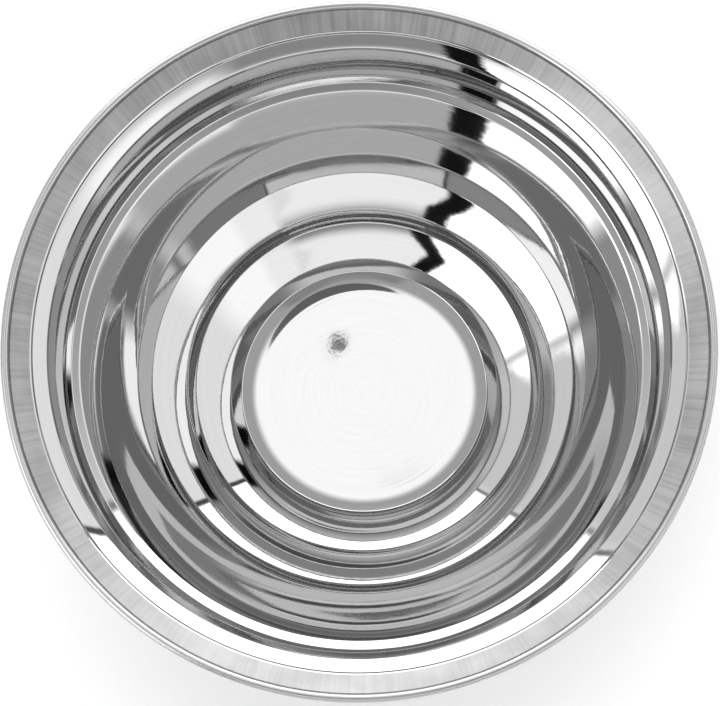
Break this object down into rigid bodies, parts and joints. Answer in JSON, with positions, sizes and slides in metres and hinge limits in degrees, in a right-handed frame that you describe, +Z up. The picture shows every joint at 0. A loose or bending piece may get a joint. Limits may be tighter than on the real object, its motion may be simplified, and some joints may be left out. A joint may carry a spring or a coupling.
{
  "type": "ward basin",
  "caption": "Round deep-drawn stainless-steel ward basin with a wired rolled edge, satin flange, stepped wall, terraced floor and a flat standing disc.",
  "frame": {"origin": "centre of the flat standing face under the disc", "axes": "+Z up along the basin's axis of revolution, out of its mouth; X and Y are equivalent"},
  "size_m": [0.32, 0.32, 0.123],
  "materials": {
    "polished_steel": "mirror-polished stainless steel, satin on the flange",
    "wire_steel": "drawn steel wire"
  },
  "bodies": {
    "root": {"bowl_shell": "polished_steel", "rim_wire": "wire_steel"}
  },
  "joints": []
}
